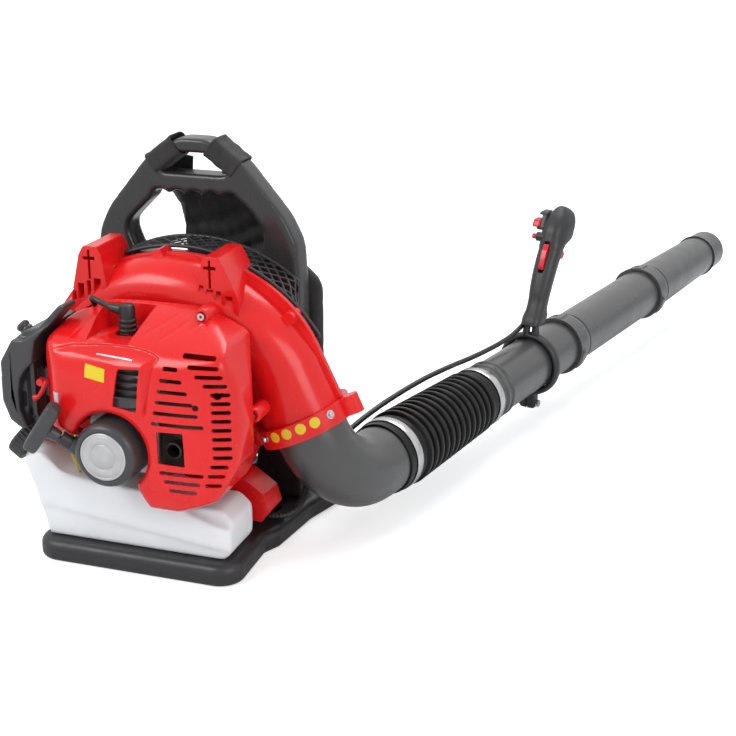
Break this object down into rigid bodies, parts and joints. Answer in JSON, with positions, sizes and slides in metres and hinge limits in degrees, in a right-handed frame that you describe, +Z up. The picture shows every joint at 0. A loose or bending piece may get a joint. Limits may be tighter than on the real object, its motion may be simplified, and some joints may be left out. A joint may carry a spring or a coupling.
{
  "type": "backpack leaf blower",
  "caption": "Backpack leaf blower: engine and scroll fan on a harness frame, with an elbow, a bellows and blow tubes that carry a throttle handle.",
  "frame": {"origin": "on the floor under the middle of the base", "axes": "+Z up, +X to the right of someone facing the engine, +Y towards the wearer's back and on along the blow tubes"},
  "size_m": [0.7066, 1.3397, 0.458],
  "materials": {
    "black_plastic": "satin moulded",
    "cast_alloy": "as cast",
    "fabric": "woven nylon",
    "foam": "open-cell foam",
    "hose_clear": "amber fuel hose",
    "red_control": "moulded red",
    "red_plastic": "smooth injection-moulded gloss",
    "rubber": "soft black rubber",
    "steel": "zinc-plated or bare steel",
    "tank_plastic": "translucent natural polyethylene",
    "tube_plastic": "satin blow-moulded"
  },
  "bodies": {
    "machine": {"air_filter_base": "black_plastic", "air_filter_cover": "black_plastic", "av_mounts": "rubber", "back_frame": "black_plastic", "back_pad": "fabric", "base_frame": "black_plastic", "cable_conduit": "rubber", "carburettor": "cast_alloy", "cover_screws": "steel", "crankcase": "cast_alloy", "cylinder": "cast_alloy", "engine_cover": "red_plastic", "filter_element": "foam", "fuel_line": "hose_clear", "fuel_tank": "tank_plastic", "ignition_lead": "rubber", "intake_screen": "black_plastic", "muffler": "steel", "outlet_collar": "red_plastic", "recoil_badge": "steel", "recoil_housing": "black_plastic", "rope_guide": "black_plastic", "shoulder_pad_left": "fabric", "shoulder_pad_right": "fabric", "spark_boot": "rubber", "spark_plug": "steel", "strap_loops": "fabric", "volute_front": "red_plastic", "volute_rear": "red_plastic"},
    "rotor": {"fan_impeller": "black_plastic", "crankshaft": "steel", "flywheel": "steel"},
    "pulley": {"starter_pulley": "black_plastic"},
    "pull_handle": {"starter_handle": "black_plastic", "starter_rope": "fabric"},
    "tank_cap": {"fuel_cap": "black_plastic"},
    "choke": {"choke_lever": "red_control"},
    "elbow": {"elbow": "tube_plastic", "bellows": "rubber", "hose_clamp_near": "steel"},
    "handle_tube": {"hose_clamp_far": "steel", "swivel_tube": "tube_plastic", "handle_clamp": "black_plastic", "clamp_bolt": "steel", "handle_shell_left": "black_plastic", "handle_shell_right": "black_plastic", "throttle_cable": "rubber"},
    "middle_tube": {"middle_tube": "tube_plastic"},
    "nozzle_tube": {"nozzle_tube": "tube_plastic"},
    "trigger": {"trigger": "red_control"},
    "lockout": {"lockout_lever": "red_control"},
    "stop_switch": {"stop_switch": "red_control"},
    "idle_button": {"idle_button": "red_control"}
  },
  "joints": [
    {"name": "fan_spin", "type": "hinge", "parent": "machine", "child": "rotor", "pos_m": [-0.012, 0, 0.152], "axis": [0, 1, 0], "continuous": true},
    {"name": "starter_pull", "type": "slide", "parent": "machine", "child": "pull_handle", "axis": [-0.7953, -0.2941, 0.5302], "range_m": [0, 0.45], "stiffness_N_per_m": 12, "springref_m": -0.05, "deforming": ["starter_rope"]},
    {"name": "pulley_spin", "type": "hinge", "parent": "machine", "child": "pulley", "pos_m": [-0.012, -0.153, 0.152], "axis": [0, 1, 0], "range_deg": [0, 921]},
    {"name": "fuel_cap_turn", "type": "hinge", "parent": "machine", "child": "tank_cap", "pos_m": [-0.131, -0.098, 0.119], "axis": [-0.8, 0, 0.6], "range_deg": [0, 360]},
    {"name": "choke_turn", "type": "hinge", "parent": "machine", "child": "choke", "pos_m": [-0.097, -0.136, 0.22], "axis": [0, 1, 0], "range_deg": [0, 50]},
    {"name": "elbow_swivel", "type": "hinge", "parent": "machine", "child": "elbow", "pos_m": [0.16, 0, 0.157], "axis": [0.42, 0, -0.9075], "range_deg": [-10, 30], "deforming": ["cable_conduit"]},
    {"name": "hose_lift", "type": "hinge", "parent": "elbow", "child": "handle_tube", "pos_m": [0.25272, 0.21547, 0.08032], "axis": [0.9684, -0.2496, 0], "range_deg": [-25, 35], "deforming": ["bellows", "throttle_cable"]},
    {"name": "middle_twist", "type": "hinge", "parent": "handle_tube", "child": "middle_tube", "pos_m": [0.34556, 0.57564, 0.08646], "axis": [0.2496, 0.9682, 0.0165], "range_deg": [0, 20]},
    {"name": "nozzle_twist", "type": "hinge", "parent": "middle_tube", "child": "nozzle_tube", "pos_m": [0.42192, 0.87192, 0.09151], "axis": [0.2496, 0.9682, 0.0165], "range_deg": [0, 20]},
    {"name": "trigger_pull", "type": "hinge", "parent": "handle_tube", "child": "trigger", "pos_m": [0.33651, 0.54052, 0.25439], "axis": [0.9684, -0.2496, 0], "range_deg": [0, 14], "stiffness_Nm_per_rad": 0.6, "springref_deg": -5.73},
    {"name": "lockout_press", "type": "hinge", "parent": "handle_tube", "child": "lockout", "pos_m": [0.32815, 0.5081, 0.23583], "axis": [0.9684, -0.2496, 0], "range_deg": [0, 6], "stiffness_Nm_per_rad": 0.6, "springref_deg": -5.73},
    {"name": "stop_switch_slide", "type": "slide", "parent": "handle_tube", "child": "stop_switch", "axis": [-0.0041, -0.016, 0.9999], "range_m": [0, 0.006]},
    {"name": "idle_button_press", "type": "slide", "parent": "handle_tube", "child": "idle_button", "axis": [0.9684, -0.2496, 0], "range_m": [0, 0.0035], "stiffness_N_per_m": 400, "springref_m": -0.001}
  ],
  "couplings": [
    {"joint": "pulley_spin", "follows": "starter_pull", "rad_per_m": 35.714}
  ]
}
